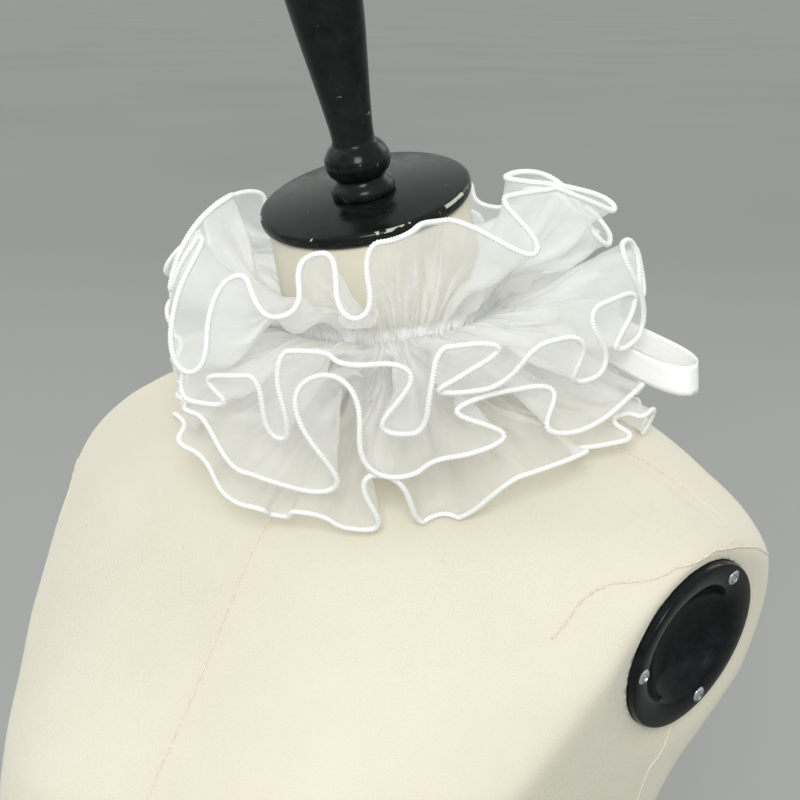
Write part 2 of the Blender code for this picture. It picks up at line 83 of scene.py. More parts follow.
# columns: direction, scale, fall
LOOP_PLACE = {
    "bow_loop_left": (-16.6, 1.18, 20.0),
    "bow_loop_right": (138.0, 0.92, 4.0),
}
# columns: out, down, twist, width
TAIL = (
    (0.0, 0.0, 0.0, 8.0), (10.0, 1.0, 12.0, 10.0), (24.0, 3.0, 45.0, 12.0),
    (40.0, 5.0, 78.0, 14.0), (56.0, 6.5, 90.0, 15.0), (64.0, 9.5, 90.0, 15.0),
    (69.0, 16.0, 90.0, 15.0), (71.0, 28.0, 90.0, 15.0),
    (72.0, 60.0, 90.0, 15.0), (71.0, 92.0, 90.0, 15.0),
    (72.0, 118.0, 90.0, 15.0),
)
TAIL_START = 4.75
# columns: direction, outward scale, downward scale
TAIL_PLACE = {
    "tie_tail_left": (84.0, 1.12, 1.0),
    "tie_tail_right": (103.0, 1.2, 0.9),
}
# columns: depth, height, tilt, half width, front, back, front fullness, back
# fullness
SECTIONS = (
    (2.3, -7.4, 18, 50.5, 50.5, 50.5, 2.0, 2.0),
    (10.8, -33.3, 18, 51.5, 51.5, 51.5, 2.0, 2.0),
    (20.1, -61.8, 18, 52.5, 52.5, 52.5, 2.0, 2.0),
    (30.6, -94.2, 18, 54.5, 54.5, 54.5, 2.0, 2.0),
    (32.6, -101.0, 18, 66, 61, 57.5, 2.0, 2.0),
    (33, -107, 17, 88, 72, 60, 2.0, 2.1),
    (33, -114, 14, 116, 86, 66, 1.95, 2.1),
    (32, -123, 11, 147, 101, 73, 1.9, 2.3),
    (30, -135, 8, 175, 111, 79, 1.8, 2.5),
    (26, -150, 6, 196, 120, 83, 1.7, 2.8),
    (20, -170, 5, 210, 128, 88, 1.7, 2.9),
    (13, -196, 4, 216, 138, 94, 1.75, 2.9),
    (6, -224, 3, 211, 149, 99, 1.85, 2.9),
    (-1, -250, 1, 192, 157, 102, 2.0, 2.7),
    (-8, -274, 0, 176, 162, 104, 2.1, 2.5),
    (-14, -300, 0, 167, 162, 104, 2.15, 2.4),
    (-19, -328, 0, 160, 155, 102, 2.15, 2.3),
    (-23, -360, 0, 152, 142, 98, 2.1, 2.2),
    (-26, -400, 0, 141, 125, 92, 2.1, 2.1),
    (-28, -435, 0, 133, 113, 88, 2.1, 2.1),
    (-29, -470, 0, 130, 107, 87, 2.1, 2.1),
)
SHOULDER_LEAN = 2.8
# heights from the cap between which the form leans, and how it fades
LEAN_FROM, LEAN_FADE_IN = -100.0, 30.0
LEAN_TO, LEAN_FADE_OUT = -330.0, 100.0
BUST = {"side": 84.0, "height": -298.0, "spread": 50.0, "rise": 24.0}
PLATE_POINT = (182.4, 8.7, -200.9)
PLATE_YAW = 10.0
PLATE_NOD = 13.6
PLATE_RADIUS = 43.6
SEAT_RADIUS = 47.0
SEAT_FADE = 62.0
SEAT_DEPTH = 2.0
SEAT_SOFT = 4.0
# columns: radius, out
PLATE_FACE = (
    (0.0, -15.8), (7.0, -15.2), (14.0, -13.4), (19.0, -11.2),
    (23.0, -8.8), (26.2, -6.2), (28.6, -3.6), (30.2, -1.2), (31.6, 0.4),
    (34.0, 1.6), (38.5, 2.1), (42.6, 2.4), (43.3, 2.1), (43.6, 1.4),
    (43.6, -7.5),
)
FINIAL = (
    (0.0, 0.35), (15.6, 0.35), (16.2, 2.0), (15.4, 5.0), (13.2, 7.6),
    (12.4, 9.4), (15.0, 12.0), (16.4, 16.0), (16.2, 20.0), (13.6, 24.6),
    (10.9, 27.4), (10.6, 31.0), (11.6, 42.0), (14.0, 62.0), (17.0, 86.0),
    (19.8, 112.0), (21.6, 134.0), (22.0, 148.0), (19.6, 160.0),
    (13.0, 168.0), (5.0, 171.0), (0.0, 171.5),
)
# columns: azimuth, tilt, reach, swing
TOP_FOLDS = (
    (-198, 30, 80, 0), (-175, 6, 72, 1), (-160, 42, 55, 0), (-136, 18, 50, 0),
    (-129, 80, 69, -3), (-118, 31, 62, -2), (-110, 55, 71, -2),
    (-94, 7, 82, 1), (-88, 42, 72, -2), (-76, 27, 80, 1), (-69, 54, 70, -1),
    (-60, 27, 73, 0), (-54, 49, 86, -3), (-34, 68, 68, -3), (-20, 39, 76, 1),
    (-17, 63, 79, -1), (-5, 57, 84, -3), (9, 41, 82, 3), (-1, 78, 74, 2),
    (32, 28, 60, 0), (47, 36, 60, 0), (62, 20, 66, 0), (80, 26, 72, 0),
    (95, 12, 76, 0), (110, 27, 78, 0), (124, 14, 76, 0), (138, 30, 78, 0),
    (150, 14, 76, 0),
)
UPPER_FOLDS = (
    (-192, 9, 72, 0), (-175, -7, 62, 0), (-158, 7, 56, 0), (-140, -8, 51, 0),
    (-122, 7, 50, 0), (-112, -3, 59, 0), (-106, 8, 67, 0), (-98, -5, 73, 2),
    (-81, 10, 79, 0), (-77, -14, 74, 0), (-72, 19, 83, 1), (-56, 14, 84, 3),
    (-51, -11, 78, -1), (-44, 17, 86, 6), (-36, -1, 70, -1), (-25, 13, 86, 0),
    (-9, -9, 72, 2), (-7, 17, 75, 5), (13, -7, 70, 2), (9, 32, 78, 0),
    (22, 5, 69, 0), (33, 18, 70, 0), (48, 9, 70, 0), (62, 14, 68, 0),
    (78, 10, 74, 0), (94, 1, 74, 0), (108, 13, 76, 0), (122, 1, 74, 0),
    (137, 10, 76, 0), (152, -7, 74, 0),
)
LOWER_FOLDS = (
    (-192, -8, 72, 0), (-176, -22, 66, 0), (-160, -10, 58, 0),
    (-142, -26, 52, 0), (-124, -10, 51, 0), (-112, -5, 60, 0),
    (-98, -1, 72, -2), (-85, -18, 79, -2), (-73, -30, 73, 3), (-66, 18, 79, 0),
    (-55, -20, 76, 0), (-44, -14, 76, 5), (-31, 4, 66, 2), (-13, -16, 78, 0),
    (5, -14, 76, 0), (20, -25, 72, 0), (35, -29, 72, 0), (48, -22, 72, 0),
    (63, -31, 72, 0), (79, -24, 76, 0), (95, -33, 74, 0), (109, -22, 76, 0),
    (123, -30, 74, 0), (138, -14, 76, 0), (153, -24, 74, 0),
)
BOTTOM_FOLDS = (
    (-188, -26, 66, 0), (-172, -40, 64, 0), (-156, -27, 62, 0),
    (-140, -42, 60, 0), (-126, -29, 59, 0), (-115, -13, 61, 1),
    (-101, -14, 75, -1), (-87, -30, 82, 1), (-81, -39, 78, 0),
    (-77, -34, 78, 0), (-62, -43, 80, 1), (-59, -17, 74, -1),
    (-46, -48, 77, -3), (-30, -21, 83, -1), (-18, -20, 83, 1),
    (-12, -27, 73, -1), (-2, -24, 84, 1), (1, -22, 72, 1), (5, -18, 84, 0),
    (15, -34, 84, 0), (27, -34, 78, 0), (45, -44, 78, 0), (60, -41, 78, 0),
    (76, -48, 80, 0), (92, -42, 80, 0), (108, -48, 80, 0), (124, -36, 80, 0),
    (140, -38, 76, 0), (156, -33, 72, 0),
)
SKIN_CLEAR = 2.2
LAID_BELOW = 20.0           # cloth below this height is laid on the form
LAID_FROM = 45.0            # the cast for it starts this much higher
REST_CLEAR = {"top": 20.0, "upper": 14.0, "lower": 8.0, "bottom": 2.6}
FRILLS = {
    "top": (TOP_FOLDS, 9.5, 7.0, 62.0),
    "upper": (UPPER_FOLDS, 3.5, 4.0, 12.0),
    "lower": (LOWER_FOLDS, -3.5, -7.0, -12.0),
    "bottom": (BOTTOM_FOLDS, -9.5, -10.0, -62.0),
}
STRIPS = {"ruffle_upper": ("top", "upper"), "ruffle_lower": ("lower", "bottom")}

# The scene's finer cloth: columns round a strip and rows out to a hem.
CLOTH_COLUMNS = 1800
CLOTH_ROWS = 26
HEM_STEP = 0.42             # distance between the rings of a hem
HEM_RADIUS = 1.25
HEM_SIDES = 8
STITCH_PITCH = 1.55
# Two kinds of crease run out from the gathers: broad ones that reach the
# hem, and small ones that die out near the band. The gap is along the hem,
# the rise a share of the gap, the reach a share of the frill's depth.
# columns: least gap, most gap, least rise, most rise, least reach, most reach
CREASES = (
    (10.0, 22.0, 0.62, 1.10, 0.6, 0.98),
    (8.0, 12.0, 0.80, 1.15, 0.25, 0.6),
)
CREASE_WIDTH = (0.18, 0.30)     # a share of the gap
CREASE_LEAN = 9.0               # most drift along the hem on the way out
CRUMPLE = 0.22                  # height of a soft wave 40 mm long
WAVE_LENGTH = (18.0, 60.0)
WAVE_COUNT = 16
FRILL_DEPTH = 80.0
RIM_WEAR_AND_HIGHLIGHT = 52.8             # radius of the line of worn paint and painted highlight on the cap
COVER = 0.46                # how much one flat layer of organza hides


def turn_frame(tilt):
    a = math.radians(tilt)
    axis = np.array([0.0, -math.sin(a), math.cos(a)])
    back = np.array([0.0, math.cos(a), math.sin(a)])
    return axis, back


CAP = np.array(CAP_POINT)
NECK_AXIS, _ = turn_frame(NECK_TILT)
COLLAR_AXIS, COLLAR_BACK = turn_frame(COLLAR_TILT)
COLLAR_POINT = CAP - COLLAR_DOWN * NECK_AXIS
SIDE = np.array([1.0, 0.0, 0.0])


def collar_place(azimuth, radius, height):
    a = np.radians(azimuth)
    return (COLLAR_POINT + outer(radius * np.cos(a), SIDE)
            + outer(radius * np.sin(a), COLLAR_BACK)
            + outer(height + 0.0 * a, COLLAR_AXIS))


# Node materials

def new_material(name, colour, rough, **sockets):
    """A Principled material and its node tree, with named sockets set."""
    mat = bpy.data.materials.new(name)
    mat.use_nodes = True
    tree = mat.node_tree
    shader = tree.nodes["Principled BSDF"]
    shader.inputs["Base Color"].default_value = (*colour, 1.0)
    shader.inputs["Roughness"].default_value = rough
    for key, value in sockets.items():
        shader.inputs[key.replace("_", " ")].default_value = value
    return mat, tree, shader


def node(tree, kind, inputs=None, **settings):
    """A node with its settings; inputs are linked or set."""
    made = tree.nodes.new(kind)
    for key, value in settings.items():
        setattr(made, key, value)
    for key, value in (inputs or {}).items():
        if isinstance(value, bpy.types.NodeSocket):
            tree.links.new(value, made.inputs[key])
        elif value is not None:
            made.inputs[key].default_value = value
    return made


def object_place(tree):
    return node(tree, "ShaderNodeTexCoord").outputs["Object"]


def split(tree, vector):
    return node(tree, "ShaderNodeSeparateXYZ", {"Vector": vector}).outputs


def ramp(tree, factor, stops):
    made = node(tree, "ShaderNodeValToRGB", {"Fac": factor})
    line = made.color_ramp
    while len(line.elements) < len(stops):
        line.elements.new(0.5)
    for stop, (place, colour) in zip(line.elements, stops):
        stop.position = place
        stop.color = (*colour, 1.0)
    return made.outputs["Color"]


def tinted(tree, shader, factor, stops):
    """Colour a shader by a factor, and hand the colour back."""
    tint = ramp(tree, factor, stops)
    tree.links.new(tint, shader.inputs["Base Color"])
    return tint


def blend(tree, factor, base, colour):
    """A colour laid over a base where the factor says so."""
    return node(tree, "ShaderNodeMix",
                {0: factor, 6: base, 7: (*colour, 1.0)},
                data_type="RGBA").outputs[2]


def spread(tree, value, given, wanted):
    """A value's given range mapped onto the wanted one."""
    return node(tree, "ShaderNodeMapRange",
                {"Value": value, "From Min": given[0], "From Max": given[1],
                 "To Min": wanted[0], "To Max": wanted[1]}).outputs["Result"]


def maths(tree, operation, one, two=None):
    return node(tree, "ShaderNodeMath", {0: one, 1: two},
                operation=operation).outputs[0]


def uv_scaled(tree, across, along):
    """The cloth's own flat coordinates in metres, scaled."""
    flat = node(tree, "ShaderNodeUVMap", uv_map="cloth")
    return node(tree, "ShaderNodeMapping",
                {"Vector": flat.outputs["UV"],
                 "Scale": (across, along, 1.0)}).outputs["Vector"]


def noise(tree, vector, scale, detail=3.0, rough=0.5):
    return node(tree, "ShaderNodeTexNoise",
                {"Vector": vector, "Scale": scale, "Detail": detail,
                 "Roughness": rough}).outputs["Fac"]


def bump(tree, shader, height, strength, distance):
    made = node(tree, "ShaderNodeBump",
                {"Height": height, "Strength": strength,
                 "Distance": distance})
    tree.links.new(made.outputs["Normal"], shader.inputs["Normal"])


def weave_height(tree, pitch):
    """Threads over and under, from the flat coordinates."""
    place = split(tree, uv_scaled(tree, 1.0 / pitch, 1.0 / pitch))
    waves = [maths(tree, "SINE", maths(tree, "MULTIPLY", way, 2 * math.pi))
             for way in place[:2]]
    return maths(tree, "MULTIPLY", *waves)


def organza_material():
    """Sheer crisp cloth: see-through, whiter where folds bunch it."""
    mat, tree, shader = new_material(
        "sheer_organza", (0.97, 0.975, 0.97), 0.30,
        Sheen_Weight=0.4, Sheen_Roughness=0.35, Specular_IOR_Level=0.5)
    flat = node(tree, "ShaderNodeUVMap", uv_map="cloth")
    part = split(tree, flat.outputs["UV"])
    fold = node(tree, "ShaderNodeAttribute", attribute_name="fold")
    streak = noise(tree, uv_scaled(tree, 190.0, 12.0), 1.0)
    broad = noise(tree, uv_scaled(tree, 45.0, 30.0), 1.0)
    fine = noise(tree, uv_scaled(tree, 2600.0, 2600.0), 1.0, 1.0)
    # the second flat coordinate runs from the gathers (0) to the hem
    gathered = spread(tree, part[1], (0.004, 0.05), (0.30, 0.0))
    cover = maths(tree, "ADD", gathered, COVER)
    for share, amount in ((streak, 0.07), (broad, 0.30), (fine, 0.08)):
        cover = maths(tree, "ADD", cover, maths(
            tree, "MULTIPLY", maths(tree, "SUBTRACT", share, 0.5), amount))
    cover = maths(tree, "ADD", cover, maths(
        tree, "MULTIPLY", fold.outputs["Fac"], 0.30))
    cover = maths(tree, "MINIMUM", cover, 0.96)
    tint = tinted(tree, shader, broad, ((0.3, (0.965, 0.97, 0.965)),
                                        (0.7, (0.99, 0.99, 0.98))))
    height = maths(tree, "ADD", weave_height(tree, 0.00045),
                   maths(tree, "MULTIPLY", streak, 0.4))
    bump(tree, shader, height, 0.12, 0.0002)
    glow = node(tree, "ShaderNodeBsdfTranslucent", {"Color": tint})
    clear = node(tree, "ShaderNodeBsdfTransparent")
    lit = node(tree, "ShaderNodeMixShader",
               {"Fac": 0.5, 1: shader.outputs[0], 2: glow.outputs[0]})
    whole = node(tree, "ShaderNodeMixShader",
                 {"Fac": cover, 1: clear.outputs[0], 2: lit.outputs[0]})
    tree.links.new(whole.outputs[0],
                   tree.nodes["Material Output"].inputs["Surface"])
    return mat


def thread_material(name, colour, rough, grain, stops, **sockets):
    """Sewing thread, mottled along its own flat coordinates."""
    mat, tree, shader = new_material(name, colour, rough, **sockets)
    soft = noise(tree, uv_scaled(tree, grain, grain), 1.0, 2.0)
    tinted(tree, shader, soft, stops)
    bump(tree, shader, soft, 0.3, 0.0002)
    return mat


def hem_material():
    return thread_material(
        "hem_thread", (0.85, 0.85, 0.83), 0.55, 900.0,
        ((0.25, (0.76, 0.77, 0.75)), (0.7, (0.90, 0.90, 0.88))),
        Sheen_Weight=0.1, Sheen_Roughness=0.4)


def seam_material():
    """The cover's own thread, a little darker than its knit."""
    return thread_material(
        "seam_thread", (0.68, 0.63, 0.51), 0.8, 700.0,
        ((0.3, (0.60, 0.54, 0.42)), (0.7, (0.76, 0.71, 0.60))),
        Sheen_Weight=0.2)


def ribbon_material():
    mat, tree, shader = new_material(
        "smooth_ribbon", (0.95, 0.95, 0.945), 0.38, Sheen_Weight=0.25,
        Sheen_Roughness=0.3)
    grain = noise(tree, uv_scaled(tree, 60.0, 1500.0), 1.0, 2.0)
    tinted(tree, shader, grain, ((0.3, (0.90, 0.90, 0.90)),
                                 (0.7, (0.97, 0.97, 0.965))))
    height = maths(tree, "ADD", weave_height(tree, 0.0005), grain)
    bump(tree, shader, height, 0.18, 0.0002)
    return mat


def jersey_material():
    mat, tree, shader = new_material(
        "cream_jersey", (0.80, 0.73, 0.57), 0.82, Sheen_Weight=0.3,
        Sheen_Roughness=0.5, Specular_IOR_Level=0.25)
    place = object_place(tree)
    patch = noise(tree, place, 9.0, 4.0, 0.6)
    speck = noise(tree, place, 260.0, 2.0, 0.5)
    rare = node(tree, "ShaderNodeTexVoronoi",
                {"Vector": place, "Scale": 45.0, "Randomness": 1.0})
    base = ramp(tree, patch, ((0.3, (0.64, 0.605, 0.49)),
                              (0.7, (0.69, 0.66, 0.55))))
    base = blend(tree, maths(tree, "MULTIPLY", speck, 0.25), base,
                 (0.70, 0.63, 0.49))
    dot = spread(tree, rare.outputs["Distance"], (0.03, 0.05), (0.3, 0.0))
    base = blend(tree, dot, base, (0.42, 0.36, 0.26))
    tree.links.new(base, shader.inputs["Base Color"])
    knit = weave_height(tree, 0.0011)
    height = maths(tree, "ADD", knit, maths(tree, "MULTIPLY", speck, 2.0))
    bump(tree, shader, height, 0.30, 0.0003)
    return mat


def lacquer_material():
    """Black gloss paint with worn, chipped edges and a painted highlight along
    the rim.
    """
    mat, tree, shader = new_material(
        "black_lacquer", (0.006, 0.008, 0.007), 0.16,
        Specular_IOR_Level=0.16)
    place = object_place(tree)
    dust = noise(tree, place, 120.0, 5.0, 0.65)
    wear = noise(tree, place, 210.0, 3.0, 0.7)
    chip = spread(tree, wear, (0.70, 0.74), (0.0, 1.0))
    base = ramp(tree, dust, ((0.35, (0.003, 0.005, 0.004)),
                             (0.75, (0.011, 0.013, 0.012))))
    base = blend(tree, chip, base, (0.20, 0.20, 0.185))
    # pale patches along the upper edge of the cap's rim: partly chipped paint,
    # partly a painted highlight of that rounded edge
    part = split(tree, place)
    squares = [maths(tree, "MULTIPLY", way, way) for way in part[:2]]
    reach = maths(tree, "SQRT", maths(tree, "ADD", *squares))
    off = maths(tree, "ABSOLUTE", maths(tree, "SUBTRACT", reach,
                                        RIM_WEAR_AND_HIGHLIGHT * MM))
    line = maths(tree, "LESS_THAN", off, 0.00055)
    upper = maths(tree, "GREATER_THAN", part[2], -0.0022)
    patch = maths(tree, "GREATER_THAN", noise(tree, place, 34.0, 4.0, 0.75),
                  0.545)
    wear_and_highlight = maths(tree, "MULTIPLY", maths(tree, "MULTIPLY", line, upper), patch)
    # one pale colour for both the bare chips and the painted highlight on the
    # rim
    base = blend(tree, wear_and_highlight, base, (0.42, 0.43, 0.36))
    tree.links.new(base, shader.inputs["Base Color"])
    gloss = spread(tree, dust, (0.3, 0.8), (0.12, 0.34))
    tree.links.new(gloss, shader.inputs["Roughness"])
    bump(tree, shader, noise(tree, place, 40.0), 0.12, 0.0006)
    return mat


def plate_material():
    mat, tree, shader = new_material(
        "black_plate", (0.005, 0.006, 0.007), 0.18,
        Specular_IOR_Level=0.14)
    place = object_place(tree)
    dust = noise(tree, place, 160.0, 4.0, 0.6)
    tinted(tree, shader, dust, ((0.35, (0.003, 0.004, 0.005)),
                                (0.8, (0.012, 0.013, 0.014))))
    gloss = spread(tree, dust, (0.3, 0.8), (0.12, 0.26))
    tree.links.new(gloss, shader.inputs["Roughness"])
    bump(tree, shader, dust, 0.08, 0.0004)
    return mat


def zinc_material():
    mat, tree, shader = new_material("zinc_screw", (0.55, 0.58, 0.60), 0.3,
                                     Metallic=1.0)
    grain = noise(tree, object_place(tree), 900.0, 2.0)
    tinted(tree, shader, grain, ((0.3, (0.42, 0.45, 0.47)),
                                 (0.7, (0.66, 0.69, 0.70))))
    bump(tree, shader, grain, 0.1, 0.0001)
    return mat


def floor_material():
    mat, tree, shader = new_material("pale_floor", (0.31, 0.32, 0.305), 0.85)
    soft = noise(tree, object_place(tree), 0.6, 2.0)
    tinted(tree, shader, soft, ((0.3, (0.32, 0.33, 0.315)),
                                (0.7, (0.35, 0.36, 0.345))))
    return mat


# Mesh helpers

def full_turn(count):
    return np.arange(count) * 2 * math.pi / count


def travelled(points):
    """The length walked at each point of a line."""
    return np.concatenate([[0.0], np.cumsum(
        np.linalg.norm(np.diff(points, axis=0), axis=1))])


def mean_fall(grid):
    """The mean length walked from a grid's first row to each row."""
    steps = np.linalg.norm(np.diff(grid, axis=0), axis=2).mean(axis=1)
    return np.concatenate([[0.0], np.cumsum(steps)])


def flat_places(one, two):
    """Flat cloth coordinates of a grid, from millimetres each way."""
    return np.stack(np.broadcast_arrays(one, two), axis=-1) * MM


def hermite(rows, slope, k, t, w=1.0):
    """Rows on a smooth curve: in span k of width w, a share t along it."""
    return ((2 * t**3 - 3 * t**2 + 1) * rows[k]
            + (t**3 - 2 * t**2 + t) * w * slope[k]
            + (-2 * t**3 + 3 * t**2) * rows[k + 1]
            + (t**3 - t**2) * w * slope[k + 1])


def mend(obj, edit):
    """Edit a piece's mesh and turn its faces outward."""
    bm = bmesh.new()
    bm.from_mesh(obj.data)
    bm.verts.ensure_lookup_table()
    edit(bm)
    bmesh.ops.recalc_face_normals(bm, faces=bm.faces)
    bm.to_mesh(obj.data)
    bm.free()
    obj.data.shade_smooth()


def mesh_piece(name, points, quads, mat, uv=None):
    """A mesh from millimetre points and quads (numpy arrays)."""
    points = np.asarray(points, float).reshape(-1, 3) * MM
    mesh = bpy.data.meshes.new(name)
    quads = np.asarray(quads, np.int64)
    sides = quads.shape[1]
    mesh.vertices.add(len(points))
    mesh.vertices.foreach_set("co", points.astype(np.float32).ravel())
    mesh.loops.add(quads.size)
    mesh.loops.foreach_set("vertex_index", quads.ravel().astype(np.int32))
    mesh.polygons.add(len(quads))
    mesh.polygons.foreach_set(
        "loop_start", np.arange(0, quads.size, sides, dtype=np.int32))
    mesh.update(calc_edges=True)
    if uv is not None:
        layer = mesh.uv_layers.new(name="cloth")
        flat = np.asarray(uv, float).reshape(-1, 2)[quads.ravel()]
        layer.data.foreach_set("uv", flat.astype(np.float32).ravel())
    mesh.validate()
    mesh.shade_smooth()
    mesh.materials.append(mat)
    obj = bpy.data.objects.new(name, mesh)
    bpy.context.scene.collection.objects.link(obj)
    return obj


def grid_quads(rows, around, closed=True, flip=False):
    i = np.arange(rows - 1)[:, None]
    j = np.arange(around if closed else around - 1)[None, :]
    k = (j + 1) % around
    quads = np.stack([i * around + j, i * around + k,
                      (i + 1) * around + k, (i + 1) * around + j], axis=-1)
    quads = quads.reshape(-1, 4)
    return quads[:, ::-1] if flip else quads


def tube_piece(name, line, radius, sides, mat, shape=None):
    """A tube along a line of points; shape(along, angle) scales its radius."""
    line = np.asarray(line, float)
    ahead = np.gradient(line, axis=0)
    ahead /= np.linalg.norm(ahead, axis=1)[:, None] + 1e-12
    up = np.zeros_like(line)
    guide = np.array([0.3, 0.1, 1.0])
    for i, t in enumerate(ahead):
        guide = guide - (guide @ t) * t
        guide /= np.linalg.norm(guide)
        up[i] = guide
    side = np.cross(ahead, up)
    travel = travelled(line)
    turn = full_turn(sides)
    size = np.full((len(line), sides), float(radius))
    if shape is not None:
        size = size * shape(travel[:, None], turn[None, :])
    ring = (line[:, None] + size[..., None]
            * (np.cos(turn)[None, :, None] * up[:, None]
               + np.sin(turn)[None, :, None] * side[:, None]))
    uv = flat_places(travel[:, None], turn[None, :] * radius)
    points = np.concatenate([ring.reshape(-1, 3), line[[0]], line[[-1]]])
    flat = np.concatenate([uv.reshape(-1, 2), uv[0, :1], uv[-1, :1]])
    quads = grid_quads(len(line), sides, flip=True)
    obj = mesh_piece(name, points, quads, mat, flat)
    total = len(line) * sides

    def close_ends(bm):
        for end, first in ((total, 0), (total + 1, total - sides)):
            for j in range(sides):
                bm.faces.new((bm.verts[end], bm.verts[first + j],
                              bm.verts[first + (j + 1) % sides]))

    mend(obj, close_ends)
    return obj


def finish_piece(obj, slot_name, *nodes):
    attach(obj, "root")
    if nodes:
        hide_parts(*nodes)
    return obj


def smooth_line(points, step):
    """Points at an even step along a line, by length."""
    travel = travelled(points)
    at = np.linspace(0.0, travel[-1], max(2, int(travel[-1] / step)))
    return np.stack([np.interp(at, travel, points[:, k])
                     for k in range(points.shape[1])], axis=1)


# The dress form

def smooth_rows(table, longest):
    rows = np.array(table, float)
    step = np.linalg.norm(np.diff(rows[:, [0, 1, 3]], axis=0), axis=1)
    place = np.concatenate([[0.0], np.cumsum(step)])
    rate = np.diff(rows, axis=0) / step[:, None]
    slope = np.zeros_like(rows)
    before, after = rate[:-1], rate[1:]
    same = before * after > 0
    total = np.where(same, before + after, 1.0)
    slope[1:-1] = np.where(same, 2 * before * after / total, 0.0)
    slope[0], slope[-1] = rate[0], rate[-1]
    parts = [np.linspace(a, b, math.ceil((b - a) / longest) + 1)[:-1]
             for a, b in zip(place[:-1], place[1:])]
    at = np.concatenate(parts + [place[-1:]])
    k = np.clip(np.searchsorted(place, at, side="right") - 1,
                0, len(place) - 2)
    w = step[k][:, None]
    t = (at - place[k])[:, None] / w
    return hermite(rows, slope, k, t, w)


def plate_frame(side):
    yaw, nod = math.radians(PLATE_YAW), math.radians(PLATE_NOD)
    out = np.array([side * math.cos(yaw) * math.cos(nod),
                    -math.sin(yaw) * math.cos(nod), -math.sin(nod)])
    centre = CAP + np.array([side * PLATE_POINT[0], PLATE_POINT[1],
                             PLATE_POINT[2]])
    return centre, out


def skin_points(around, longest):
    rows = smooth_rows(SECTIONS, longest)
    turn = full_turn(around)
    rings = []
    for depth, height, tilt, wide, front, back, full, full_back in rows:
        _, rear = turn_frame(tilt)
        ahead = np.sin(turn) < -1e-9
        deep = np.where(ahead, front, back)
        power = 2.0 / np.where(ahead, full, full_back)
        across = np.sign(np.cos(turn)) * np.abs(np.cos(turn)) ** power
        along = np.sign(np.sin(turn)) * np.abs(np.sin(turn)) ** power
        middle = CAP + np.array([0.0, depth, height])
        rings.append(middle + outer(wide * across, SIDE)
                     + outer(deep * along, rear))
    points = np.array(rings)
    local = points - CAP
    below = np.clip((LEAN_FROM - local[..., 2]) / LEAN_FADE_IN, 0.0, 1.0)
    above = np.clip((local[..., 2] - LEAN_TO) / LEAN_FADE_OUT, 0.0, 1.0)
    lean = math.tan(math.radians(SHOULDER_LEAN))
    points[..., 2] -= lean * points[..., 0] * below * above
    for side in (-1.0, 1.0):
        off = ((local[..., 0] - side * BUST["side"]) ** 2
               + (local[..., 2] - BUST["height"]) ** 2)
        rise = BUST["rise"] * np.exp(-off / (2 * BUST["spread"] ** 2))
        points[..., 1] -= np.where(local[..., 1] < -20.0, rise, 0.0)
    for side in (-1.0, 1.0):
        centre, out = plate_frame(side)
        over = (points - centre) @ out
        near = -SEAT_SOFT * np.log1p(
            np.exp(-np.clip(over / SEAT_SOFT, -30, 30)))
        shift = np.where(over > -30.0, over - near, 0.0)
        points -= shift[..., None] * out
        over = (points - centre) @ out
        flat = points - centre - over[..., None] * out
        away = np.linalg.norm(flat, axis=-1)
        hold = np.clip((SEAT_FADE - away) / (SEAT_FADE - SEAT_RADIUS), 0, 1)
        hold = np.where(over > -40.0, hold * hold * (3 - 2 * hold), 0.0)
        points -= ((over + SEAT_DEPTH) * hold)[..., None] * out
    points[-1, :, 2] = 0.0
    return points


def neck_radius(down):
    rows = smooth_rows(SECTIONS, 24.0)
    rows = rows[rows[:, 2] > NECK_TILT - 0.5]
    places = -(rows[:, 0] * NECK_AXIS[1] + rows[:, 1] * NECK_AXIS[2])
    return np.interp(down, places, rows[:, 3])


def snug_radius(azimuth, height):
    azimuth = np.asarray(azimuth, float)
    radius = np.full(azimuth.shape, 56.0)
    for _ in range(6):
        place = collar_place(azimuth, radius, height) - CAP
        along = place @ NECK_AXIS
        off = np.linalg.norm(place - along[..., None] * NECK_AXIS, axis=-1)
        radius = radius + neck_radius(-along) + BAND_CLEAR - off
    return radius


# Skins of the form: points round it, and the longest step down.
COARSE_SKIN = (92, 12.0)
FINE_SKIN = (260, 2.6)


def skin_tree(around, longest):
    """The form's skin, for lines to be cast at."""
    points = skin_points(around, longest)
    return BVHTree.FromPolygons(
        [tuple(p) for p in points.reshape(-1, 3)],
        [tuple(q) for q in grid_quads(*points.shape[:2], flip=True)])


SKIN = skin_tree(*COARSE_SKIN)


# The well behind an arm plate: radius and out.
WELL = ((0.0, -20.4), (28.3, -20.4), (PLATE_RADIUS + 0.5, -9.0),
        (PLATE_RADIUS + 0.5, 30.0), (0.0, 30.0))
CHEST_RADIUS = 130.0        # a mean one, for the knit's flat coordinates


def build_form(mats):
    points = skin_points(*FINE_SKIN)
    rows, around, _ = points.shape
    quads = grid_quads(rows, around, flip=True)
    turn = full_turn(around)
    uv = flat_places(turn[None, :] * CHEST_RADIUS,
                     mean_fall(points)[:, None])
    skin = mesh_piece("form_skin", points, quads, mats["jersey"], uv)

    def close_ends(bm):
        for first in (0, (rows - 1) * around):
            bm.faces.new([bm.verts[first + j] for j in range(around)])

    mend(skin, close_ends)
    for side in (1.0, -1.0):
        carve(skin, turned("well_tool", WELL, *plate_frame(side), 128,
                           mats["jersey"]))
    return finish_piece(skin, "jersey", "form_body")


# Seams of the form's cover. The armhole seam is stitched by hand round the
# upper side of each arm plate: back and up from the plate's middle.
# columns: back, up
ARMHOLE = (
    (-74.0, 12.0), (-60.0, 24.0), (-44.0, 35.5), (-22.0, 45.5),
    (3.0, 49.0), (23.0, 45.5), (42.0, 40.0), (58.0, 31.0),
)
# The shoulder seam runs out from the neck to the armhole seam: out to the
# side and back.
# columns: out, back
SHOULDER = (
    (78.0, 52.0), (105.0, 60.0), (140.0, 67.0), (169.0, 68.5),
    (178.0, 69.0), (186.0, 65.5), (190.5, 60.0), (193.0, 55.2),
)
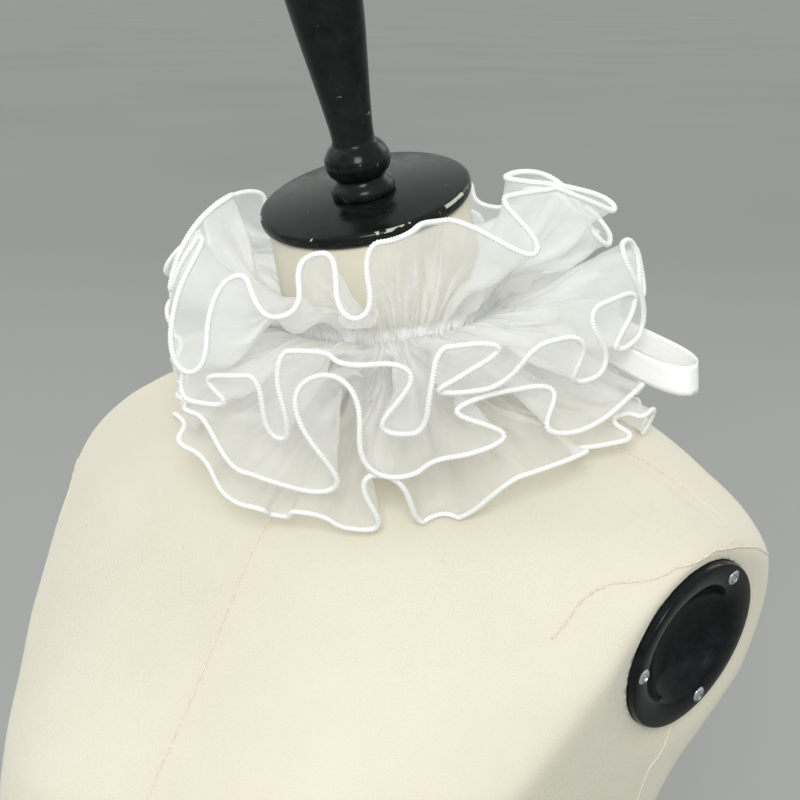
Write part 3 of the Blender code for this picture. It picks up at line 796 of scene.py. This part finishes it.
# The side seam runs down from under the plate: back and height.
# columns: back, height
SIDE_SEAM = (
    (49.0, 225.0), (44.8, 214.0), (41.3, 207.0), (34.9, 201.0),
    (32.0, 160.0), (30.0, 90.0), (30.0, 6.0),
)
SEAM_RADIUS = 0.50
SEAM_LIFT = 0.12
SEAM_SIDES = 6
SEAM_STEP = 0.8
SEAM_TABLE_STEP = 3.0
STITCH_LONG = 4.4
STITCH_EVERY = 6.2


def on_skin(cover, places, direction):
    """Where lines in one direction first meet the form's cover."""
    found = []
    for place in places:
        hit, normal, _, _ = cover.ray_cast(Vector(place), Vector(direction))
        if hit is not None:
            found.append(tuple(hit + SEAM_LIFT * normal))
    return np.array(found)


def build_seams(mats):
    cover = skin_tree(*FINE_SKIN)

    def seam(name, places, direction, shape=None, radius=SEAM_RADIUS):
        line = smooth_line(on_skin(cover, places, direction), SEAM_STEP)
        piece = tube_piece(name, line, radius, SEAM_SIDES, mats["seam"],
                           shape)
        finish_piece(piece, "jersey")

    def stitches(travel, turn):
        wide = np.where(travel % STITCH_EVERY < STITCH_LONG, 1.3, 0.5)
        return wide + 0.0 * turn

    # each line is cast at the cover from a place well off it
    for name, side in (("left", 1.0), ("right", -1.0)):
        centre, out = plate_frame(side)
        table = smooth_line(np.array(ARMHOLE), SEAM_TABLE_STEP)
        across = np.cross(out, (0.0, 0.0, 1.0))
        across *= side / np.linalg.norm(across)
        rise = np.cross(across, out) * side
        places = (centre + 60.0 * out + table[:, :1] * -across
                  + table[:, 1:] * rise)
        seam(f"armhole_seam_{name}", places, -out, stitches)
        out, back = smooth_line(np.array(SHOULDER), SEAM_TABLE_STEP).T
        places = np.stack([side * out, back, np.full(len(out), 460.0)],
                          axis=1)
        seam(f"shoulder_seam_{name}", places, (0, 0, -1))
        back, height = smooth_line(np.array(SIDE_SEAM), SEAM_TABLE_STEP).T
        places = np.stack([np.full(len(back), side * 280.0), back, height],
                          axis=1)
        seam(f"side_seam_{name}", places, (-side, 0, 0))
    heights = np.arange(372.0, 5.0, -3.0)
    for name, way in (("front", 1.0), ("back", -1.0)):
        places = np.stack([np.full(len(heights), 1.0),
                           np.full(len(heights), -way * 300.0), heights],
                          axis=1)
        seam(f"centre_{name}_seam", places, (0, way, 0), radius=0.42)


def apply_modifiers(obj):
    """Keep the mesh that the piece's modifiers make."""
    graph = bpy.context.evaluated_depsgraph_get()
    made = bpy.data.meshes.new_from_object(obj.evaluated_get(graph))
    obj.modifiers.clear()
    obj.data = made


def carve(obj, tool):
    """Cut a tool's shape out of a piece, and drop the tool."""
    cut = obj.modifiers.new("cut", "BOOLEAN")
    cut.operation = "DIFFERENCE"
    cut.solver = "EXACT"
    cut.object = tool
    bpy.context.view_layer.update()
    apply_modifiers(obj)
    bpy.data.objects.remove(tool)


def turned(name, profile, centre, axis, around, mat):
    """A turned mesh from radius and height rows."""
    mesh = bpy.data.meshes.new(name)
    outline = [(r * MM, 0.0, h * MM) for r, h in reversed(profile)]
    mesh.from_pydata(outline, [(i, i + 1) for i in range(len(outline) - 1)],
                     [])
    mesh.materials.append(mat)
    obj = bpy.data.objects.new(name, mesh)
    bpy.context.scene.collection.objects.link(obj)
    obj.location = Vector(centre * MM)
    obj.rotation_mode = "QUATERNION"
    obj.rotation_quaternion = Vector((0.0, 0.0, 1.0)).rotation_difference(
        Vector(axis))
    screw = obj.modifiers.new("turned", "SCREW")
    screw.steps = around
    screw.render_steps = around
    screw.use_merge_vertices = True
    screw.merge_threshold = 0.00001
    screw.use_smooth_shade = True
    bpy.context.view_layer.update()
    apply_modifiers(obj)
    return obj


def rounded(profile, pieces):
    """A profile with each span cut into pieces along a smooth curve."""
    rows = np.array(profile, float)
    slope = np.zeros_like(rows)
    step = np.linalg.norm(np.diff(rows, axis=0), axis=1)
    rate = np.diff(rows, axis=0) / step[:, None]
    slope[1:-1] = (rate[:-1] + rate[1:]) / 2
    slope[0], slope[-1] = rate[0], rate[-1]
    out = []
    for k in range(len(rows) - 1):
        for t in np.arange(pieces) / pieces:
            out.append(hermite(rows, slope, k, t, step[k]))
    out.append(rows[-1])
    return [(max(0.0, float(r)), float(h)) for r, h in out]


# Screws on each plate: the angle round it, and how far each slot is turned.
# columns: angle, slot
SCREWS = ((60, 20), (186, 35), (298, 10))
SCREW_RING = 37.6
SCREW_HEAD = ((0.0, 1.55), (1.5, 1.45), (2.9, 1.0), (3.8, 0.35), (4.1, -0.4),
              (0.0, -0.4))
SCREW_OUT = 1.9
SLOT_OUT = 2.1              # the slot's middle, out from the head's foot
SLOT_SIZE = (5.6, 1.35, 3.2)
PLATE_BACK = ((43.0, -9.0), (28.0, -20.0), (0.0, -20.0))


def build_plates(mats):
    for name, side in (("arm_plate_left", 1.0), ("arm_plate_right", -1.0)):
        centre, out = plate_frame(side)
        shape = (rounded(PLATE_FACE[:10], 4)[:-1]
                 + list(PLATE_FACE[9:] + PLATE_BACK))
        plate = turned(name + "_face", shape[::-1], centre, out, 144,
                       mats["plate"])
        finish_piece(plate, "plate", name)
        one = np.cross([0.0, 0.0, 1.0], out)
        one /= np.linalg.norm(one)
        two = np.cross(out, one)
        for index, (angle, slot_turn) in enumerate(SCREWS):
            a = math.radians(angle if side > 0 else 180 - angle)
            spot = (centre + SCREW_RING * (math.cos(a) * one
                                           + math.sin(a) * two)
                    + SCREW_OUT * out)
            head = turned("screw", SCREW_HEAD[::-1], spot, out, 40,
                          mats["zinc"])
            for extra in (0.0, 90.0):
                bpy.ops.mesh.primitive_cube_add(size=1.0)
                bar = bpy.context.object
                bar.scale = [side_long * MM for side_long in SLOT_SIZE]
                bar.rotation_mode = "QUATERNION"
                spin = Matrix.Rotation(math.radians(slot_turn + extra), 4,
                                       "Z").to_quaternion()
                bar.rotation_quaternion = head.rotation_quaternion @ spin
                bar.location = Vector((spot + SLOT_OUT * out) * MM)
                carve(head, bar)
            head.name = f"{name}_screw_{index + 1}"
            finish_piece(head, "plate")


def build_cap(mats):
    low = -CAP_THICK
    edge = ((CAP_RADIUS - 1.6, low), (CAP_RADIUS - 0.4, low + 1.2),
            (CAP_RADIUS, low + 3.0), (CAP_RADIUS, -2.4),
            (CAP_RADIUS - 0.7, -0.9), (CAP_RADIUS - 2.4, 0.0))
    shape = [(0.0, low)] + rounded(edge, 3) + [(0.0, 0.0)]
    cap = turned("cap_disc", shape, CAP, NECK_AXIS, 160, mats["lacquer"])
    finish_piece(cap, "lacquer", "neck_cap")
    post = turned("finial_turned", rounded(FINIAL, 4), CAP, NECK_AXIS, 96,
                  mats["lacquer"])
    finish_piece(post, "lacquer", "cap_finial")


# The collar

def hem_curve(table):
    rows = np.array(table, float)
    following = np.vstack([rows[1:], rows[0] + (360.0, 0, 0, 0)])
    w = np.arange(FOLD_SAMPLES) / FOLD_SAMPLES
    ease = (1 - np.cos(math.pi * w)) / 2
    out = []
    for here, there in zip(rows, following):
        step = there - here
        steep = min(1.0, abs(step[1]) / FULL_TILT)
        swing = here[3] + ROUNDNESS * abs(step[0]) * steep
        azimuth = here[0] + step[0] * w + swing * np.sin(2 * math.pi * w)
        out.append(np.stack([azimuth, here[1] + step[1] * ease,
                             here[2] + step[2] * ease], axis=1))
    return np.concatenate(out)


def frill_grid(name, roots, steps):
    table, spring, level, launch = FRILLS[name]
    hem = hem_curve(table)
    window = len(hem) // 16
    steady = np.concatenate([hem[-window:, 0] - 360.0, hem[:, 0],
                             hem[:window, 0] + 360.0])
    kernel = np.hanning(2 * window + 1)
    kernel /= kernel.sum()
    root = np.convolve(steady, kernel, mode="valid")
    ring = np.concatenate([root - 360.0, root, root + 360.0])
    every = np.concatenate([hem - (360.0, 0, 0), hem, hem + (360.0, 0, 0)])
    azimuth, tilt, reach = (np.interp(roots, ring, every[:, k])
                            for k in range(3))
    start = (snug_radius(roots, spring) + BAND_WALL + FIT_GAP
             + CLOTH_WALL / 2)
    grid = []
    for t in steps:
        turn = min(t / TURN_SHARE, 1.0)
        turn = turn * turn * (3 - 2 * turn)
        angle = np.radians(launch + (tilt - launch) * turn)
        radius = start + (HEM_CIRCLE - start) * t + t * reach * np.cos(angle)
        height = spring + (level - spring) * t + t * reach * np.sin(angle)
        grid.append(collar_place(roots + (azimuth - roots) * t,
                                 radius, height))
    return np.array(grid)


def even_roots(names, count):
    first = OPEN_AT - 360.0 + STRIP_GAP
    last = OPEN_AT - STRIP_GAP
    fine = np.linspace(first, last, 4321)
    travel = np.zeros(len(fine))
    for name in names:
        hem = frill_grid(name, fine, (1.0,))[-1]
        travel[1:] += np.cumsum(np.linalg.norm(np.diff(hem, axis=0), axis=1))
    travel += (fine - first) * 1.5
    at = np.linspace(0.0, travel[-1], count)
    return np.interp(at, travel, fine)


def lift_off(grid, clear):
    """Lay cloth on the form, as its solid is laid."""
    flat = grid[1:].reshape(-1, 3)
    low = flat[:, 2] < COLLAR_POINT[2] + LAID_BELOW
    down = Vector((0.0, 0.0, -1.0))
    for i in np.nonzero(low)[0]:
        place = flat[i]
        hit, normal, _, _ = SKIN.ray_cast(
            Vector(place) + Vector((0.0, 0.0, LAID_FROM)), down)
        if hit is not None and normal.z > 0.5:
            place[2] = max(place[2], hit.z + clear)
        near, normal, _, _ = SKIN.find_nearest(Vector(place))
        off = normal.dot(Vector(place) - near)
        if off < SKIN_CLEAR:
            place += np.array(normal) * (SKIN_CLEAR - off)
    grid[1:] = flat.reshape(grid[1:].shape)
    return grid


def grid_normals(grid):
    along = np.gradient(grid, axis=1)
    out = np.gradient(grid, axis=0)
    normal = np.cross(along, out)
    return normal / (np.linalg.norm(normal, axis=2)[..., None] + 1e-9)


def crease_heights(rng, along, local, steps):
    """Creases that run out from the gathers, and soft crumpling.

    along is the length at the hem, local the share of it left at each row.
    """
    heights = np.zeros((len(steps), len(along)))
    share = np.asarray(steps)[:, None]
    for shape in CREASES:
        spot = 0.0
        while spot <= along[-1]:
            gap = rng.uniform(*shape[0:2])
            spot += gap
            wide = gap * rng.uniform(*CREASE_WIDTH)
            tall = gap * rng.uniform(*shape[2:4])
            reach = rng.uniform(*shape[4:6])
            lean = rng.uniform(-CREASE_LEAN, CREASE_LEAN)
            fade = np.clip(1.0 - share / reach, 0.0, 1.0) ** 0.8
            fade = fade * (2 - fade) * np.clip(share * 7.0, 0.45, 1.0)
            near = np.abs(along - spot) < 5 * gap
            off = (along[None, near] - spot - lean * share) / wide
            heights[:, near] += (tall * fade * local[:, near]
                                 * np.exp(-0.5 * off * off))
    heights -= heights.mean(axis=1)[:, None]
    length = np.exp(rng.uniform(*np.log(WAVE_LENGTH), WAVE_COUNT))
    angle = rng.uniform(0, math.pi, WAVE_COUNT)
    phase = rng.uniform(0, 2 * math.pi, WAVE_COUNT)
    out = share * FRILL_DEPTH
    for k in range(WAVE_COUNT):
        wave = np.sin(2 * math.pi / length[k]
                      * (along[None, :] * math.cos(angle[k])
                         + out * math.sin(angle[k])) + phase[k])
        heights += CRUMPLE * length[k] / 40.0 * wave * np.clip(
            share * 1.6, 0, 1) * (1.0 - 0.5 * share)
    return heights


def build_strips(mats):
    rng = np.random.default_rng(SEED)
    steps = np.linspace(0.0, 1.0, CLOTH_ROWS) ** 1.15
    for strip, names in STRIPS.items():
        roots = even_roots(names, CLOTH_COLUMNS)
        halves, flats, folds = [], [], []
        for name in names:
            grid = lift_off(frill_grid(name, roots, steps), REST_CLEAR[name])
            along = travelled(grid[-1])
            out = mean_fall(grid)
            turn = np.linalg.norm(np.gradient(grid, axis=1), axis=2)
            local = turn / turn[-1:]
            rise = crease_heights(rng, along, np.minimum(local, 1.0), steps)
            slope = np.gradient(rise, axis=1) / (turn + 0.02)
            folds.append(np.clip(np.sqrt(1.0 + slope**2) - 1.0, 0.0, 1.0))
            grid = grid + grid_normals(grid) * rise[..., None]
            halves.append(grid)
            flats.append((along, out))
        mid = np.concatenate([halves[0][::-1], halves[1]])
        along = (flats[0][0] + flats[1][0]) / 2
        fall = np.concatenate([flats[0][1][::-1], flats[1][1]])
        uv = flat_places(along[None, :], fall[:, None])
        rows, around, _ = mid.shape
        cloth = mesh_piece(strip + "_cloth", mid,
                           grid_quads(rows, around, closed=False),
                           mats["organza"], uv)
        fold = np.concatenate([folds[0][::-1], folds[1]])
        layer = cloth.data.attributes.new("fold", "FLOAT", "POINT")
        layer.data.foreach_set("value", fold.astype(np.float32).ravel())
        finish_piece(cloth, "organza", strip)
        for name, half in zip(names, halves):
            line = smooth_line(half[-1], HEM_STEP)
            edge = tube_piece(
                f"{name}_hem", line, HEM_RADIUS, HEM_SIDES, mats["hem"],
                lambda s, a: 1.0 + 0.20 * np.sin(
                    2 * math.pi * s / STITCH_PITCH + a))
            finish_piece(edge, "organza")


def eased(table, pieces):
    rows = np.array(table, float)
    spot = np.linspace(0.0, len(rows) - 1.0, pieces * (len(rows) - 1) + 1)
    k = np.minimum(spot.astype(int), len(rows) - 2)
    t = (spot - k)[:, None]
    return hermite(rows, np.gradient(rows, axis=0), k, t)


def plan_axes(direction):
    a = math.radians(direction)
    return (math.cos(a) * SIDE + math.sin(a) * COLLAR_BACK,
            -math.sin(a) * SIDE + math.cos(a) * COLLAR_BACK)


RIBBON_THICK = 0.35


def ribbon_piece(name, edges, mat, node_name):
    """A thin ribbon between two edge lines."""
    one, two = edges
    across = np.linspace(0.0, 1.0, 7)
    grid = np.array([one * (1 - w) + two * w for w in across])
    along = travelled(grid[len(grid) // 2])
    wide = float(np.linalg.norm(one - two, axis=1).mean())
    uv = flat_places(along[None, :], across[:, None] * wide)
    rows, around, _ = grid.shape
    piece = mesh_piece(name, grid, grid_quads(rows, around, closed=False),
                       mat, uv)
    wall = piece.modifiers.new("wall", "SOLIDIFY")
    wall.thickness = RIBBON_THICK * MM
    wall.offset = 0.0
    bpy.context.view_layer.update()
    apply_modifiers(piece)
    piece.data.shade_smooth()
    finish_piece(piece, "ribbon", node_name)


def build_band(mats):
    ring = np.linspace(OPEN_AT - 360.0 + BAND_GAP, OPEN_AT - BAND_GAP, 320)
    end = eased(BAND_END, 6)
    azimuth = np.concatenate([OPEN_AT - 360.0 + end[::-1, 0], ring,
                              OPEN_AT - end[:, 0]])
    out = np.concatenate([end[::-1, 1], 0.0 * ring, end[:, 1]])
    tall = np.concatenate([end[::-1, 2], BAND_HEIGHT + 0.0 * ring,
                           end[:, 2]])
    lines = []
    for part in (0.5, -0.5):
        height = tall * part + KNOT_HEIGHT * out / end[-1, 1]
        radius = snug_radius(azimuth, height) + BAND_WALL / 2 + out
        lines.append(collar_place(azimuth, radius, height))
    ribbon_piece("band_ribbon", lines, mats["ribbon"], "neck_band")


def build_bow(mats):
    knot = collar_place(KNOT_AZIMUTH, KNOT_RADIUS, KNOT_HEIGHT)
    half = eased(LOOP, 8)
    line = np.concatenate([half, half[::-1] * (1.0, -1.0, 1.0)])
    for name, (direction, scale, fall) in LOOP_PLACE.items():
        ahead, across = plan_axes(direction)
        edges = []
        for edge in (0.5, -0.5):
            far = line[:, 0] / LOOP[-1][0]
            up = edge * line[:, 2] - fall * far
            out = LOOP[0][0] + (line[:, 0] - LOOP[0][0]) * scale
            edges.append(knot + outer(out, ahead) + outer(line[:, 1], across)
                         + outer(up, COLLAR_AXIS))
        ribbon_piece(name + "_ribbon", edges, mats["ribbon"], name)
    line = eased(TAIL, 8)
    down = np.array([0.0, 0.0, -1.0])
    for name, (direction, wide_scale, tall_scale) in TAIL_PLACE.items():
        ahead, across = plan_axes(direction)
        twist = np.radians(line[:, 2])
        out = TAIL_START + line[:, 0] * wide_scale
        middle = (knot + outer(out, ahead)
                  + outer(line[:, 1] * tall_scale, down))
        edges = []
        for edge in (0.5, -0.5):
            wide = edge * line[:, 3]
            edges.append(middle + outer(wide * np.cos(twist), COLLAR_AXIS)
                         + outer(wide * np.sin(twist), across))
        ribbon_piece(name + "_ribbon", edges, mats["ribbon"], name)
    turn = full_turn(KNOT_AROUND)
    lift = np.linspace(-1.0, 1.0, KNOT_ROWS)
    outward, sideways = plan_axes(KNOT_AZIMUTH)
    rings = []
    for h in lift:
        fat = (1 - abs(h) ** 3.2) ** 0.5
        fat = fat / 2 * (1.0 + 0.05 * np.sin(5 * turn + 3 * h) * fat)
        rings.append(knot + outer(KNOT_SIZE[1] * fat * np.cos(turn), outward)
                     + outer(KNOT_SIZE[0] * fat * np.sin(turn), sideways)
                     + KNOT_SIZE[2] / 2 * h * COLLAR_AXIS)
    rings = np.array(rings)
    uv = flat_places(turn[None, :] * 4.0, lift[:, None] * 5.0)
    ball = mesh_piece("bow_knot", rings, grid_quads(KNOT_ROWS, KNOT_AROUND),
                      mats["ribbon"], uv)
    mend(ball, lambda bm: bmesh.ops.remove_doubles(
        bm, verts=bm.verts, dist=0.00001))
    finish_piece(ball, "ribbon", "tie_knot")


# Stage, lights, camera

FLOOR_HALF = 2e5
FLOOR_TOP = -0.5
SKY_COLOUR = (0.98, 1.0, 0.98)
SKY_STRENGTH = 0.80
# columns: name, size in metres, watts, place and aim in metres
LAMPS = (
    ("window", 0.7, 24.0, (1.0, -1.5, 1.25), (0, 0, 0.38)),
    ("fill", 2.0, 10.0, (-1.7, -0.9, 2.0), (0, 0, 0.36)),
    ("rim", 1.0, 7.0, (0.6, 1.8, 1.7), (0, 0, 0.40)),
)


def build_stage(mats):
    corners = ((-1, -1), (1, -1), (1, 1), (-1, 1))
    floor = mesh_piece("studio_floor",
                       [(x * FLOOR_HALF, y * FLOOR_HALF, FLOOR_TOP)
                        for x, y in corners], [(0, 1, 2, 3)], mats["floor"])
    world = bpy.data.worlds.new("studio")
    bpy.context.scene.world = world
    world.use_nodes = True
    back = world.node_tree.nodes["Background"]
    back.inputs["Color"].default_value = (*SKY_COLOUR, 1.0)
    back.inputs["Strength"].default_value = SKY_STRENGTH
    for name, size, power, place, aim in LAMPS:
        data = bpy.data.lights.new(name, "AREA")
        data.shape = "SQUARE"
        data.size = size
        data.energy = power
        lamp = bpy.data.objects.new(name, data)
        lamp.location = place
        lamp.rotation_euler = (Vector(aim) - Vector(place)).to_track_quat(
            "-Z", "Y").to_euler()
        bpy.context.scene.collection.objects.link(lamp)


CAMERA_PLACE = (0.475705, -0.618198, 0.567451)
CAMERA_AZIMUTH = 35.0
CAMERA_ELEVATION = 14.27
CAMERA_LENS = 72.59


def build_camera():
    data = bpy.data.cameras.new("photo_view")
    data.sensor_width = 36.0
    data.sensor_fit = "HORIZONTAL"
    data.lens = CAMERA_LENS
    data.clip_start = 0.02
    data.clip_end = 600.0
    camera = bpy.data.objects.new("photo_view", data)
    bpy.context.scene.collection.objects.link(camera)
    a, e = math.radians(CAMERA_AZIMUTH), math.radians(CAMERA_ELEVATION)
    away = Vector((math.sin(a) * math.cos(e), -math.cos(a) * math.cos(e),
                   math.sin(e)))
    camera.location = CAMERA_PLACE
    camera.rotation_mode = "QUATERNION"
    camera.rotation_quaternion = (-away).to_track_quat("-Z", "Y")
    bpy.context.scene.camera = camera


def main():
    mats = {"organza": organza_material(), "hem": hem_material(),
            "ribbon": ribbon_material(), "jersey": jersey_material(),
            "lacquer": lacquer_material(), "plate": plate_material(),
            "seam": seam_material(), "zinc": zinc_material(),
            "floor": floor_material()}
    build_form(mats)
    build_seams(mats)
    build_cap(mats)
    build_plates(mats)
    build_bow(mats)
    build_band(mats)
    build_strips(mats)
    build_stage(mats)
    build_camera()
    scene = bpy.context.scene
    scene.cycles.transparent_max_bounces = 16
    scene.cycles.diffuse_bounces = 6
    scene.view_settings.view_transform = "Standard"


main()
